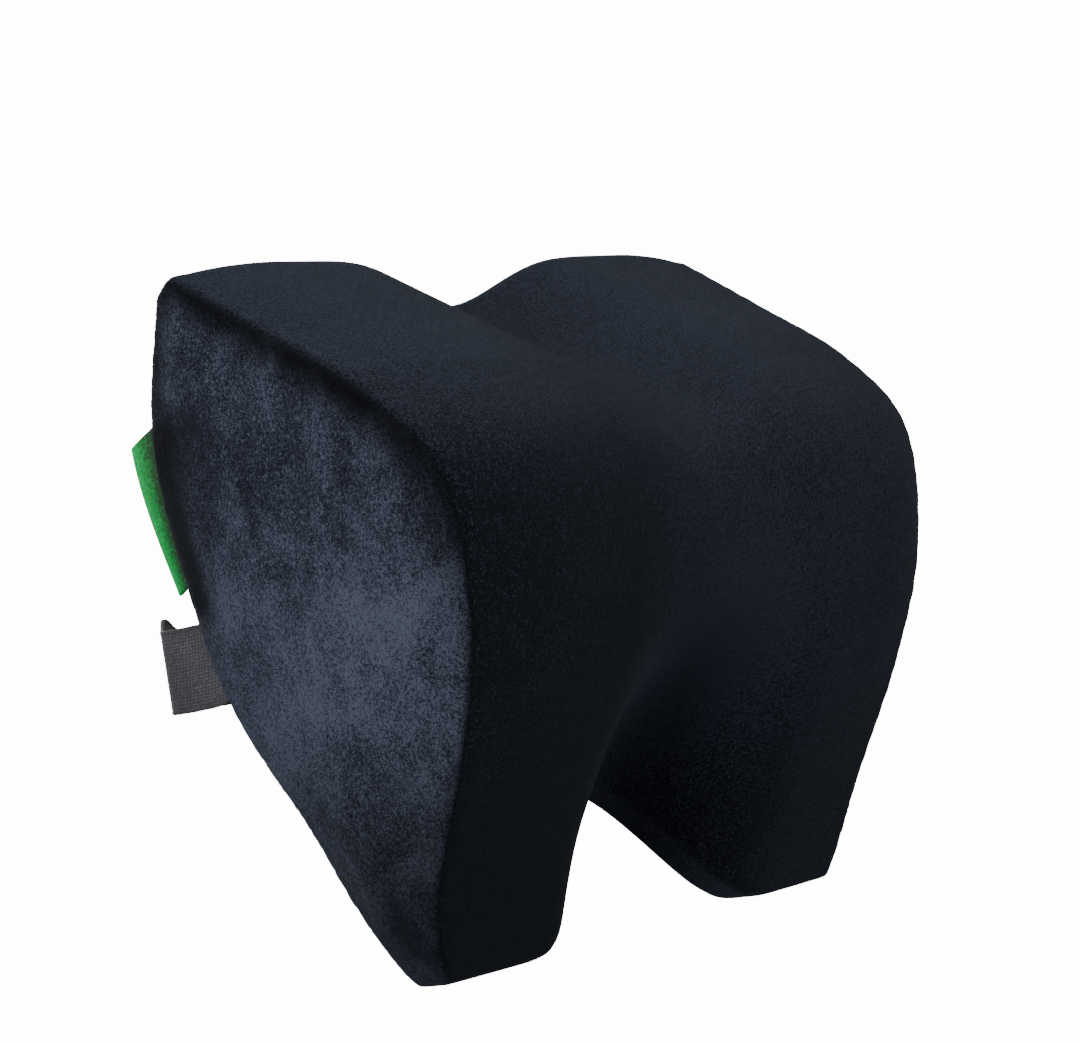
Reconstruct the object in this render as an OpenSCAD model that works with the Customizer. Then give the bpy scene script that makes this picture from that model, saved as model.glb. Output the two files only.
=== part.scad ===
// Lumbar support cushion: a foam core in a sewn cover, with a zipper at the back
// and an elastic strap that goes round a chair back.
// Millimetres. The front faces -Y and up is +Z. The origin is on the floor, under
// the middle of the whole part.

/* [Cushion] */
// Width between the side seams, at half height
cushion_w = 300; // [240:5:360]
// Height of the side seams
cushion_h = 256; // [200:2:320]
// Depth of the side profile
cushion_d = 120; // [90:2:150]
// Extra half width for each millimetre above half height
side_taper = 0.11; // [0:0.005:0.2]
// How much the lower corners are tucked in
corner_tuck = 10; // [0:1:15]
// How far the side panels bulge
side_bulge = 12; // [4:1:20]

/* [Waist] */
// Height of the arch between the two soles
arch_h = 54; // [20:1:80]
// Dip of the top edge in the middle
saddle_h = 17; // [0:1:40]
// How narrow that dip is: 1 is as wide as the arch, more is narrower
saddle_power = 1.9; // [1:0.1:3]
// Rise of the top edge over the lobes
lobe_rise = 5; // [0:1:12]
// Part of the depth that the front hollow takes away
hollow = 0.05; // [0:0.01:0.4]
// Part of the depth that the lobes add
puff = 0.12; // [0:0.01:0.2]
// How quickly the arch's pull on the front fades upwards
arch_fade = 2.2; // [1:0.1:3]
// Where the waist ends, as a part of the half width
waist_end = 0.65; // [0.4:0.01:0.9]
// How quickly the waist fades
waist_power = 1.41; // [0.8:0.01:3]

/* [Fabric] */
// Thickness of the velour cover
cover_t = 0.8; // [0.4:0.1:2]
// Thickness of the knitted inner liner
liner_t = 0.3; // [0.2:0.1:1]
// Clearance between one layer and the next
layer_gap = 0.6; // [0.4:0.05:0.9]

/* [Zipper] */
// Height of the zipper on the back
zip_z = 76; // [70:1:90]
// Length of the coil
zip_len = 250; // [160:5:260]
// Length of the pull tab
pull_len = 24; // [14:1:30]

/* [Strap] */
// Width of the webbing
strap_w = 30; // [20:1:45]
// Thickness of the webbing
strap_t = 1.4; // [0.8:0.1:2.5]
// Height of the strap's centre line
strap_z = 121; // [110:1:150]
// How far the loop stands off the seams
strap_reach = 51.4; // [40:0.1:90]
// Half length of the straight run across the back
strap_run = 96; // [60:1:110]

/* [Tag] */
// Height of the lower end of the tag
tag_z = 147; // [140:1:170]
// Length of the tag along the seam
tag_len = 57; // [30:1:70]
// How far the tag stands out
tag_reach = 11; // [8:1:25]

/* [Hidden] */
$fn = 32;

VELOUR_WRAP = [0.10, 0.13, 0.16];
VELOUR_SIDE = [0.19, 0.22, 0.26];
FOAM = [0.93, 0.90, 0.80];
LINER = [0.90, 0.90, 0.88];
TAPE = [0.09, 0.10, 0.12];
COIL = [0.06, 0.06, 0.07];
METAL = [0.32, 0.33, 0.34];
GREEN = [0.30, 0.72, 0.20];
WEBBING = [0.20, 0.20, 0.21];
ACETAL = [0.05, 0.05, 0.06];

// Side profile, as parts of the depth and of the height: from the top seam down
// the front to the sole, and the back line at six even heights.
front_line = [[0.32, 1], [0.024, 0.903], [-0.286, 0.796], [-0.486, 0.67],
              [-0.483, 0.483], [-0.359, 0.316], [-0.16, 0.134], [-0.055, 0]];
back_line = [0.068, 0.23, 0.437, 0.512, 0.51, 0.36];

// Moves everything forward, so that the origin is under the middle of the part
shift_y = -18.42;
// The lower corners are tucked in below this height
tuck_h = 45;
// The line inside the cushion that the layers are inset towards
core_y = shift_y + 5;
core_z = 0.53 * cushion_h;

n_across = 24;
n_front = 26;
n_sole = 2;
n_back = 18;
n_ring = 6;

// ---- curves -------------------------------------------------------------------

function end_pt(p, i) =
    i < 0 ? 2 * p[0] - p[1]
    : i >= len(p) ? 2 * p[len(p) - 1] - p[len(p) - 2]
    : p[i];

// A smooth curve through the points p, for t from 0 to 1
function curve(p, t) =
    let (m = len(p) - 1, s = t * m, i = max(0, min(floor(s), m - 1)), f = s - i,
         a = end_pt(p, i - 1), b = end_pt(p, i), c = end_pt(p, i + 1),
         d = end_pt(p, i + 2))
    0.5 * (2 * b + (c - a) * f + (2 * a - 5 * b + 4 * c - d) * f * f
           + (3 * b - a - 3 * c + d) * f * f * f);

function waist(u) =
    abs(u) < waist_end ? pow(0.5 * (1 + cos(180 * abs(u) / waist_end)), waist_power) : 0;
function full(u) =
    abs(u) > waist_end ? 1 - pow((abs(u) - waist_end) / (1 - waist_end), 2) : 1;

function back_y(z) = shift_y + cushion_d * curve(back_line, z / cushion_h);
function half_w(z) =
    cushion_w / 2 + side_taper * (z - cushion_h / 2)
    - corner_tuck * pow(max(0, 1 - z / tuck_h), 2);
function low_z(u) = arch_h * waist(u);
function top_z(u) = cushion_h + lobe_rise * full(u) - saddle_h * pow(waist(u), saddle_power);

// A point of the front panel: t runs from the top seam (0) to the sole (1)
function front_pt(u, t) =
    let (p = curve(front_line, t),
         z = p[1] * top_z(u) + low_z(u) * pow(1 - p[1], arch_fade),
         depth = back_y(p[1] * cushion_h) - shift_y - p[0] * cushion_d)
    [u * half_w(z),
     back_y(z) - depth * (1 - hollow * waist(u)) * (1 + puff * full(u)), z];

// A point of the back at height z
function back_pt(u, z) = [u * half_w(z), back_y(z), z];
function sole_pt(u, t) = (1 - t) * front_pt(u, 1) + t * back_pt(u, low_z(u));

// Move a point of the surface inwards by t
function inset(p, u, t) =
    let (v = [p[1] - core_y, p[2] - core_z], k = 1 - t / norm(v))
    [p[0] - t * u, core_y + v[0] * k, core_z + v[1] * k];

// ---- grids --------------------------------------------------------------------

function steps(n) = [for (i = [0:n]) i / n];
u_edge = 1 - (cover_t + 0.2) / (cushion_w / 2);
function across(e) = [for (i = [0:n_across]) e * (2 * i / n_across - 1)];

function front_row(u) =
    concat([for (t = steps(n_front)) front_pt(u, t)],
           [for (i = [1:n_sole]) sole_pt(u, i / n_sole)]);
function back_row(u, z0, z1, n) =
    [for (s = steps(n)) back_pt(u, z0 + s * (z1 - z0))];

// The closed outline at u, without the repeated last point
function loop_row(u) =
    let (z0 = low_z(u), z1 = top_z(u))
    concat(front_row(u),
           [for (i = [1:n_back - 1]) back_pt(u, z0 + i / n_back * (z1 - z0))]);

// One ring of a side panel, r = 1 at the seam and 0 in the middle
function ring(side, r, t) =
    [for (p = loop_row(1))
        let (q = inset(p, 0, t), z = core_z + (q[2] - core_z) * r)
        [side * (half_w(z) + side_bulge * pow(1 - r * r, 0.7) - t),
         core_y + (q[1] - core_y) * r, z]];

function quads(rows, cols, base, closed, flip) =
    [for (i = [0:rows - 2]) for (j = [0:cols - (closed ? 1 : 2)])
        let (a = base + i * cols + j, b = base + i * cols + (j + 1) % cols,
             c = base + (i + 1) * cols + (j + 1) % cols, d = base + (i + 1) * cols + j)
        each flip ? [[a, c, b], [a, d, c]] : [[a, b, c], [a, c, d]]];

function strip(a, b) =
    [for (i = [0:len(a) - 2]) each [[a[i], a[i + 1], b[i + 1]], [a[i], b[i + 1], b[i]]]];

// A sheet with an outer and an inner face: rows is a list of rows of points
module sheet(outer, inner) {
    n = len(outer);
    m = len(outer[0]);
    k = n * m;
    rim = concat([for (j = [0:m - 1]) j],
                 [for (i = [1:n - 1]) i * m + m - 1],
                 [for (j = [m - 2:-1:0]) (n - 1) * m + j],
                 [for (i = [n - 2:-1:0]) i * m]);
    polyhedron(
        points = concat([for (r = outer) each r], [for (r = inner) each r]),
        faces = concat(quads(n, m, 0, false, true), quads(n, m, k, false, false),
                       strip(rim, [for (i = rim) i + k])));
}

// The whole cushion shape, inset by t
module cushion_body(t) {
    cols = n_front + n_sole + n_back;
    tube = [for (u = across(1)) [for (p = loop_row(u)) inset(p, u, t)]];
    radii = [for (i = [1:n_ring - 1]) sin(90 * (1 - i / n_ring))];
    rows = concat([for (i = [len(radii) - 1:-1:0]) ring(-1, radii[i], t)],
                  tube,
                  [for (r = radii) ring(1, r, t)]);
    n = len(rows);
    pts = [for (r = rows) each r];
    x_mid = half_w(core_z) + side_bulge - t;
    a = len(pts);
    last = (n - 1) * cols;
    polyhedron(
        points = concat(pts, [[-x_mid, core_y, core_z], [x_mid, core_y, core_z]]),
        faces = concat(
            quads(n, cols, 0, true, true),
            [for (j = [0:cols - 1]) [a, j, (j + 1) % cols]],
            [for (j = [0:cols - 1]) [a + 1, last + (j + 1) % cols, last + j]]));
}

// ---- foam and liner -----------------------------------------------------------

liner_in = cover_t + layer_gap;
foam_in = liner_in + liner_t + layer_gap;

module foam_core() {
    color(FOAM) cushion_body(foam_in);
}

module inner_liner() {
    color(LINER) difference() {
        cushion_body(liner_in);
        cushion_body(liner_in + liner_t);
    }
}

// ---- cover --------------------------------------------------------------------

seam_gap = 0.2;

module front_panel() {
    function row(u, t) = [for (p = front_row(u)) inset(p, u, t)];
    color(VELOUR_WRAP) sheet([for (u = across(u_edge)) row(u, 0)],
                             [for (u = across(u_edge)) row(u, cover_t)]);
}

module back_panel(lower) {
    function row(u, t) =
        [for (p = lower ? back_row(u, low_z(u) + seam_gap, zip_z - panel_gap / 2, 4)
                        : back_row(u, zip_z + panel_gap / 2, top_z(u) - seam_gap, n_back - 4))
            inset(p, u, t)];
    color(VELOUR_WRAP) sheet([for (u = across(u_edge)) row(u, 0)],
                             [for (u = across(u_edge)) row(u, cover_t)]);
}

module back_panel_upper() back_panel(false);
module back_panel_lower() back_panel(true);

module side_panel(side) {
    radii = [for (i = [0:n_ring - 1]) sin(90 * (1 - i / n_ring))];
    cols = n_front + n_sole + n_back;
    outer = [for (r = radii) ring(side, r, 0)];
    inner = [for (r = radii) ring(side, r, cover_t)];
    n = len(radii);
    k = n * cols;
    x_mid = side * (half_w(core_z) + side_bulge);
    mid = 2 * k;
    right = side > 0;
    last = (n - 1) * cols;
    function tri(a, b, c) = right ? [a, b, c] : [a, c, b];
    color(VELOUR_SIDE) polyhedron(
        points = concat([for (r = outer) each r], [for (r = inner) each r],
                        [[x_mid, core_y, core_z], [x_mid - side * cover_t, core_y, core_z]]),
        faces = concat(
            quads(n, cols, 0, true, right), quads(n, cols, k, true, !right),
            [for (j = [0:cols - 1]) tri(mid, last + (j + 1) % cols, last + j)],
            [for (j = [0:cols - 1]) tri(mid + 1, k + last + j, k + last + (j + 1) % cols)],
            [for (j = [0:cols - 1]) tri(j, (j + 1) % cols, k + (j + 1) % cols)],
            [for (j = [0:cols - 1]) tri(j, k + (j + 1) % cols, k + j)]));
}

module side_panel_left() side_panel(-1);
module side_panel_right() side_panel(1);

// ---- zipper -------------------------------------------------------------------
// The zipper is drawn flat, X along it, Z across it and Y out of the fabric, and
// then laid on the slope of the back.

panel_gap = 10;
zip_tilt = atan((back_y(zip_z + 4) - back_y(zip_z - 4)) / 8);
zip_half = half_w(zip_z) - 4;
coil_w = 2.4;
coil_split = 0.4;
coil_y0 = -0.15;
coil_y1 = 1.65;
slider_l = 11;
slider_w = 9;
slider_x = zip_len / 2 - slider_l / 2 - 1.5;
pin_y = 4.9;
pin_r = 0.7;

module on_back() {
    translate([0, back_y(zip_z), zip_z]) rotate([-zip_tilt, 0, 0]) children();
}

module block(x0, x1, y0, y1, z0, z1) {
    translate([x0, y0, z0]) cube([x1 - x0, y1 - y0, z1 - z0]);
}

module zipper_tape(s) {
    z0 = coil_split + coil_w + 0.2;
    color(TAPE) on_back()
        block(-zip_half, zip_half, coil_y0, 0.35,
              s > 0 ? z0 : -panel_gap / 2 + 0.3, s > 0 ? panel_gap / 2 - 0.3 : -z0);
}

module zipper_coil(s) {
    color(COIL) on_back()
        block(-zip_len / 2, zip_len / 2, coil_y0, coil_y1,
              s > 0 ? coil_split : -coil_split - coil_w, s > 0 ? coil_split + coil_w : -coil_split);
}

module zipper_stop(s) {
    x0 = zip_len / 2 + 0.2;
    color(METAL) on_back()
        block(s > 0 ? x0 : -x0 - 2.6, s > 0 ? x0 + 2.6 : -x0, coil_y0, 2,
              -coil_split - coil_w + 0.1, coil_split + coil_w - 0.1);
}

module zipper_tape_upper() zipper_tape(1);
module zipper_tape_lower() zipper_tape(-1);
module zipper_coil_upper() zipper_coil(1);
module zipper_coil_lower() zipper_coil(-1);
module zipper_stop_left() zipper_stop(-1);
module zipper_stop_right() zipper_stop(1);

module zipper_slider() {
    a = slider_l / 2;
    b = slider_w / 2;
    color(METAL) on_back() translate([slider_x, 0, 0]) {
        // The two plates, the web between them and the lips over the coils
        block(-a, a, 1.95, 3, -b, b);
        block(-a, a, -0.7, -0.3, -b, b);
        block(-1.5, a - 0.5, -0.5, 2.2, -coil_split + 0.15, coil_split - 0.15);
        block(-a, a, 0.65, 2, coil_split + coil_w + 0.35, b);
        block(-a, a, 0.65, 2, -b, -coil_split - coil_w - 0.35);
        // The posts and the pin that carry the pull tab
        for (s = [-1, 1])
            block(-1.3, 1.3, 2.9, pin_y + pin_r + 0.5, s > 0 ? 2.1 : -3.1, s > 0 ? 3.1 : -2.1);
        translate([0, pin_y, -2.5]) cylinder(r = pin_r, h = 5);
    }
}

module zipper_pull() {
    color(METAL) on_back() translate([slider_x, pin_y, 0]) {
        difference() {
            union() {
                cylinder(r = 1.6, h = 3.4, center = true);
                block(-6, 0, -0.6, 0.6, -1.7, 1.7);
                block(-pull_len, -5, -0.6, 0.6, -3.4, 3.4);
            }
            cylinder(r = pin_r + 0.25, h = 6, center = true);
            translate([-pull_len + 4, 0, 0]) rotate([90, 0, 0])
                cylinder(r = 1.5, h = 4, center = true);
        }
    }
}

// ---- tag ----------------------------------------------------------------------

module side_tag() {
    t = 0.5;
    r = 2.2;
    z_mid = tag_z + tag_len / 2;
    lean = atan(side_taper);
    color(GREEN)
        translate([-half_w(z_mid) - 0.4, back_y(z_mid) + 0.5, z_mid]) rotate([0, -lean, 0])
        rotate([0, 0, 4]) linear_extrude(tag_len, center = true) difference() {
            union() {
                translate([0, tag_reach - r]) circle(r);
                polygon([[-0.6, 0], [0.6, 0], [r, tag_reach - r], [-r, tag_reach - r]]);
            }
            translate([0, tag_reach - r]) circle(r - t);
            polygon([[0, 1.5], [r - t, tag_reach - r], [t - r, tag_reach - r]]);
        }
}

// ---- strap --------------------------------------------------------------------

seam_x = half_w(strap_z);
seam_y = back_y(strap_z);
pivot_y = seam_y + 12;
leg_x = seam_x + 0.3 + 1.5 * strap_t + 0.9;
bend_y = seam_y + 22;
run_y = seam_y + strap_reach;

// The sewn ends, which start along the seam's slope
module strap_end(s) {
    b = strap_w / 2;
    function seam(z) = back_y(strap_z + z) + 0.6;
    color(WEBBING) translate([s * (seam_x + 0.3 + strap_t / 2), 0, strap_z])
        rotate([0, -90, 0]) linear_extrude(strap_t, center = true)
        polygon([[-b, seam(-b)], [b, seam(b)], [b, pivot_y + 1.5], [-b, pivot_y + 1.5]]);
}

module strap_end_left() strap_end(-1);
module strap_end_right() strap_end(1);

// The loop's centre line in plan, from the left end to the straight run
left_line = [[-leg_x, pivot_y], [-leg_x, pivot_y + 6], [-leg_x + 0.6, bend_y - 0.5],
             [-leg_x + 6, bend_y + 4.5], [-leg_x + 24, run_y - 15],
             [-strap_run - 13, run_y - 2], [-strap_run, run_y]];
left_run = [for (t = steps(24)) curve(left_line, t)];
right_run = [for (i = [24:-1:0]) [-left_run[i][0], left_run[i][1]]];
strap_line = concat(left_run, right_run);

function side_step(p, i, d) =
    let (v = p[min(i + 1, len(p) - 1)] - p[max(i - 1, 0)])
    p[i] + d * [-v[1], v[0]] / norm(v);

module strap_webbing() {
    n = len(strap_line);
    color(WEBBING) translate([0, 0, strap_z]) linear_extrude(strap_w, center = true)
        polygon(concat(
            [for (i = [0:n - 1]) side_step(strap_line, i, strap_t / 2)],
            [for (i = [n - 1:-1:0]) side_step(strap_line, i, -strap_t / 2)]));
}

// The adjuster: two outer bars behind the webbing and the middle bar before it
module strap_slider() {
    l = 13;
    h = strap_w / 2;
    y = strap_t / 2 + 0.35;
    color(ACETAL) translate([0, run_y, strap_z]) {
        for (s = [-1, 1]) {
            block(-l, l, -y - 2, y + 2, s > 0 ? h + 0.6 : -h - 3.6, s > 0 ? h + 3.6 : -h - 0.6);
            block(s > 0 ? l - 4 : -l, s > 0 ? l : 4 - l, y, y + 2, -h - 1, h + 1);
        }
        block(-2, 2, -y - 2, -y, -h - 1, h + 1);
    }
}

// ---- assembly -----------------------------------------------------------------

foam_core();
inner_liner();
front_panel();
back_panel_upper();
back_panel_lower();
side_panel_left();
side_panel_right();
zipper_tape_upper();
zipper_tape_lower();
zipper_coil_upper();
zipper_coil_lower();
zipper_stop_left();
zipper_stop_right();
zipper_slider();
zipper_pull();
side_tag();
strap_end_left();
strap_end_right();
strap_webbing();
strap_slider();
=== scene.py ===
"""Looks of the lumbar support cushion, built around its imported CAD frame.

Shapes are worked out in millimetres and turned to metres when a mesh is made.
"""
import math

import bmesh
import bpy
import numpy as np
from mathutils import Matrix, Vector
from mathutils.bvhtree import BVHTree
from mathutils.geometry import delaunay_2d_cdt


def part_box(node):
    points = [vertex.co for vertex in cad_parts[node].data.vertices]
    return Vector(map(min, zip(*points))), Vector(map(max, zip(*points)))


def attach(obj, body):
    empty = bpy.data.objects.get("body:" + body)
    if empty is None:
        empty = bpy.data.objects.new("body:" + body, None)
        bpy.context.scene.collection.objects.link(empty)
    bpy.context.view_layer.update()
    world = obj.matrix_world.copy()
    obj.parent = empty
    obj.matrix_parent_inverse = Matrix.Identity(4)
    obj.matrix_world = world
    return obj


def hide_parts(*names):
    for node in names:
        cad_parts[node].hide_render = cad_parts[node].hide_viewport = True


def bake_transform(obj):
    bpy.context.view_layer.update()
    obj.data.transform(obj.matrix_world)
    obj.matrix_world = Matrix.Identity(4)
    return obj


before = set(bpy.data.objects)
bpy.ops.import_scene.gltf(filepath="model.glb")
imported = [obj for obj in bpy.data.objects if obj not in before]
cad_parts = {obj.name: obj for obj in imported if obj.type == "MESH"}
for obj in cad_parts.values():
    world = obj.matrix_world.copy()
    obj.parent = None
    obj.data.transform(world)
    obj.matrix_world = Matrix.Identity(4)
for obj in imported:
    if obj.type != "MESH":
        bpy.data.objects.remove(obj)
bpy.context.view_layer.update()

MM = 0.001


def box_mm(node):
    """A CAD node's lowest and highest corners, in millimetres."""
    lo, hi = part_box(node)
    return np.array(lo) / MM, np.array(hi) / MM


# ---- driving sizes ------------------------------------------------------------

# Driving sizes in millimetres. Those of the form repeat the values in the CAD source

strap_lo, strap_hi = box_mm("strap_webbing")
tag_lo, _ = box_mm("side_tag")

HEIGHT = box_mm("side_panel_left")[1][2]
DEPTH = HEIGHT * 120 / 256
WIDTH = HEIGHT * 300 / 256
TAPER = 0.11                    # half width gained per unit of height
CORNER_TUCK, TUCK_H = 10.0, 45.0  # how far the lowest corners draw in, and from what height
BULGE = 12.0                    # crown of each side panel
ARCH = 54.0                     # height of the arch between the soles
SADDLE = 17.0                   # dip of the top edge in the middle
SADDLE_POWER = 1.9              # how narrow that dip is
LOBE_RISE = 5.0                 # rise of the top edge over the lobes
HOLLOW = 0.05                   # part of the depth that the front hollow takes away
PUFF = 0.12                     # part of the depth that the lobes add
ARCH_FADE = 2.2                 # how soon the arch fades out up the front
WAIST_END = 0.65                # where the waist ends, as a part of the half width
WAIST_POWER = 1.41              # how narrow the waist is
SHIFT_Y = -18.42                # puts the middle of the whole box at y = 0
CORE = np.array([SHIFT_Y + 5, 0.53 * HEIGHT])  # middle of a side panel, (y, z)

ZIP_Z = 76.0
ZIP_GAP = 7.0
STRAP_Z = (strap_lo[2] + strap_hi[2]) / 2

# Side view of the wrap: (depth, height) down the front, and depth up the back, as parts
FRONT_LINE = [(0.32, 1), (0.024, 0.903), (-0.286, 0.796), (-0.486, 0.67),
              (-0.483, 0.483), (-0.359, 0.316), (-0.16, 0.134), (-0.055, 0)]
BACK_LINE = [0.068, 0.23, 0.437, 0.512, 0.51, 0.36]


# ---- the cushion's form -------------------------------------------------------

def curve(points, t):
    """A smooth curve through points, for an array t from 0 to 1."""
    p = np.asarray(points, float)
    p = np.concatenate([[2 * p[0] - p[1]], p, [2 * p[-1] - p[-2]]])
    s = np.asarray(t, float) * (len(p) - 3)
    i = np.clip(np.floor(s).astype(int), 0, len(p) - 4)
    f = s - i
    if p.ndim > 1:
        f = f[..., None]
    a, b, c, d = p[i], p[i + 1], p[i + 2], p[i + 3]
    return 0.5 * (2 * b + (c - a) * f + (2 * a - 5 * b + 4 * c - d) * f * f
                  + (3 * b - a - 3 * c + d) * f ** 3)


def waist(u):
    a = np.minimum(np.abs(u) / WAIST_END, 1)
    return (0.5 * (1 + np.cos(np.pi * a))) ** WAIST_POWER


def fullness(u):
    over = np.maximum(np.abs(u) - WAIST_END, 0) / (1 - WAIST_END)
    return 1 - over ** 2


def back_y(z):
    return SHIFT_Y + DEPTH * curve(BACK_LINE, z / HEIGHT)


def half_width(z):
    tuck = CORNER_TUCK * np.maximum(1 - np.asarray(z) / TUCK_H, 0) ** 2
    return WIDTH / 2 + TAPER * (z - HEIGHT / 2) - tuck


def low_z(u):
    return ARCH * waist(u)


def top_z(u):
    return HEIGHT + LOBE_RISE * fullness(u) - SADDLE * waist(u) ** SADDLE_POWER


def front_point(u, t):
    p = curve(FRONT_LINE, t)
    z = p[..., 1] * top_z(u) + low_z(u) * np.maximum(1 - p[..., 1], 0) ** ARCH_FADE
    depth = back_y(p[..., 1] * HEIGHT) - SHIFT_Y - p[..., 0] * DEPTH
    y = back_y(z) - depth * (1 - HOLLOW * waist(u)) * (1 + PUFF * fullness(u))
    return np.stack([u * half_width(z), y, z], -1)


def back_point(u, z):
    return np.stack([u * half_width(z), back_y(z), z], -1)


# ---- making meshes ------------------------------------------------------------

def link(obj):
    bpy.context.scene.collection.objects.link(obj)
    return obj


def make_mesh(name, verts_mm, faces, smooth=True):
    mesh = bpy.data.meshes.new(name)
    mesh.from_pydata((np.asarray(verts_mm, float) * MM).tolist(), [], faces)
    mesh.update()
    if smooth:
        mesh.polygons.foreach_set("use_smooth", [True] * len(mesh.polygons))
    return link(bpy.data.objects.new(name, mesh))


def set_attribute(obj, name, values):
    layer = obj.data.attributes.get(name) or obj.data.attributes.new(name, "FLOAT", "POINT")
    layer.data.foreach_set("value", np.asarray(values, np.float32))


def get_attribute(obj, name):
    out = np.zeros(len(obj.data.vertices), np.float32)
    obj.data.attributes[name].data.foreach_get("value", out)
    return out


def coords(obj):
    co = np.zeros(len(obj.data.vertices) * 3)
    obj.data.vertices.foreach_get("co", co)
    return co.reshape(-1, 3) / MM


def set_coords(obj, co):
    obj.data.vertices.foreach_set("co", (np.asarray(co) * MM).ravel())
    obj.data.update()


def normals(obj):
    out = np.zeros(len(obj.data.vertices) * 3, np.float32)
    obj.data.vertex_normals.foreach_get("vector", out)
    return out.reshape(-1, 3)


def apply_modifiers(obj):
    graph = bpy.context.evaluated_depsgraph_get()
    mesh = bpy.data.meshes.new_from_object(obj.evaluated_get(graph), depsgraph=graph)
    obj.modifiers.clear()
    old = obj.data
    obj.data = mesh
    bpy.data.meshes.remove(old)
    return obj


def subdivide(obj):
    mod = obj.modifiers.new("subdivide", "SUBSURF")
    mod.levels = mod.render_levels = 1
    mod.boundary_smooth = "PRESERVE_CORNERS"
    return apply_modifiers(obj)


def face_outwards(obj):
    bm = bmesh.new()
    bm.from_mesh(obj.data)
    bmesh.ops.recalc_face_normals(bm, faces=bm.faces)
    bm.to_mesh(obj.data)
    bm.free()
    return obj


def bevel(obj, width_mm, segments):
    mod = obj.modifiers.new("bevel", "BEVEL")
    mod.width = width_mm * MM
    mod.segments = segments
    mod.limit_method = "ANGLE"
    mod.angle_limit = math.radians(40)
    return apply_modifiers(obj)


# ---- the whole cover as one closed grid ---------------------------------------

FRONT, BACK_LOW, ZIPPER, BACK_UP, SIDE_L, SIDE_R = range(6)
N_FRONT, N_SOLE, N_BACK_LOW, N_BACK_UP = 80, 4, 10, 46
SEAM_COLUMNS = (0, 1.3, 2.8, 4.6, 7, 10, 14, 18.5)
INNER_MARGIN, N_INNER = 23.5, 55
SIDE_RINGS = (1.5, 3.4, 6.0, 9.5)
SIDE_STEP = 5.2
TAPE_LIP = 0.6


def column_places():
    """Places across the width, close together at the seams."""
    side = WIDTH / 2
    inner = np.linspace(INNER_MARGIN - side, side - INNER_MARGIN, N_INNER)
    left = -side + np.array(SEAM_COLUMNS)
    return np.concatenate([left, inner, -left[::-1]]) / side


def loop_at(u):
    """The closed outline of the wrap at each u, and the region of each step."""
    u = np.asarray(u)[:, None]
    one = np.ones_like(u)
    # Front, from the top edge down to the sole
    t = np.linspace(0, 1, N_FRONT + 1)[None, :]
    parts = [front_point(u * np.ones_like(t), one * t)]
    region = [FRONT] * N_FRONT
    # Sole, or the roof of the arch
    toe, heel = front_point(u, one)[:, 0], back_point(u, low_z(u))[:, 0]
    for s in np.arange(1, N_SOLE) / N_SOLE:
        parts.append((toe + s * (heel - toe))[:, None])
    region += [FRONT] * N_SOLE
    # Back, up to the zipper
    low = low_z(u)
    s = np.linspace(0, 1, N_BACK_LOW + 1)[None, :]
    parts.append(back_point(u * np.ones_like(s), low + s * (ZIP_Z - ZIP_GAP / 2 - low)))
    region += [BACK_LOW] * N_BACK_LOW
    # The zipper's two tapes
    z = ZIP_Z + np.array([-ZIP_GAP / 2 + TAPE_LIP, 0, ZIP_GAP / 2 - TAPE_LIP])[None, :]
    parts.append(back_point(u * np.ones_like(z), one * z))
    region += [BACK_LOW, ZIPPER, ZIPPER, BACK_UP]
    # Back, from the zipper to the top edge
    s = np.linspace(0, 1, N_BACK_UP + 1)[None, :-1]
    z0 = ZIP_Z + ZIP_GAP / 2
    parts.append(back_point(u * np.ones_like(s), z0 + s * (top_z(u) - z0)))
    region += [BACK_UP] * N_BACK_UP
    return np.concatenate(parts, 1), np.array(region)


def side_grid(side, seam):
    """Vertices inside one side seam, their distance and angle from it, and the triangles."""
    flat = seam[:, 1:]
    reach = np.linalg.norm(flat - CORE, axis=1)
    angle = np.arctan2(flat[:, 1] - CORE[1], flat[:, 0] - CORE[0])
    order = np.argsort(angle)
    ang, rad = angle[order], reach[order]

    def share(p):
        a = np.arctan2(p[:, 1] - CORE[1], p[:, 0] - CORE[0])
        return np.linalg.norm(p - CORE, axis=1) / np.interp(a, ang, rad, period=2 * np.pi)

    rings = [CORE + (flat - CORE) * (1 - d / reach)[:, None] for d in SIDE_RINGS]
    ys = np.arange(flat[:, 0].min(), flat[:, 0].max(), SIDE_STEP)
    zs = np.arange(flat[:, 1].min(), flat[:, 1].max(), SIDE_STEP * 0.866)
    grid = np.array([(y + (k % 2) * SIDE_STEP / 2, z) for k, z in enumerate(zs) for y in ys])
    near = np.linalg.norm(grid - CORE, axis=1) / np.maximum(share(grid), 1e-6)
    grid = grid[(1 - share(grid)) * near > 13]
    inner = np.concatenate(rings + [grid])
    n = len(flat)
    points = [Vector(p) for p in np.concatenate([flat, inner]).tolist()]
    edges = [(i, (i + 1) % n) for i in range(n)]
    out = delaunay_2d_cdt(points, edges, [], 1, 1e-4)
    assert len(out[0]) == len(points)
    r = share(inner)
    y, z = inner[:, 0], inner[:, 1]
    x = side * (half_width(z) + BULGE * np.maximum(1 - r * r, 0) ** 0.7)
    dist = (1 - r) * np.linalg.norm(inner - CORE, axis=1) / np.maximum(r, 1e-6)
    a = np.arctan2(inner[:, 1] - CORE[1], inner[:, 0] - CORE[0])
    return np.stack([x, y, z], 1), dist, a, (ang, order), [tuple(f) for f in out[2]]


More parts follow.
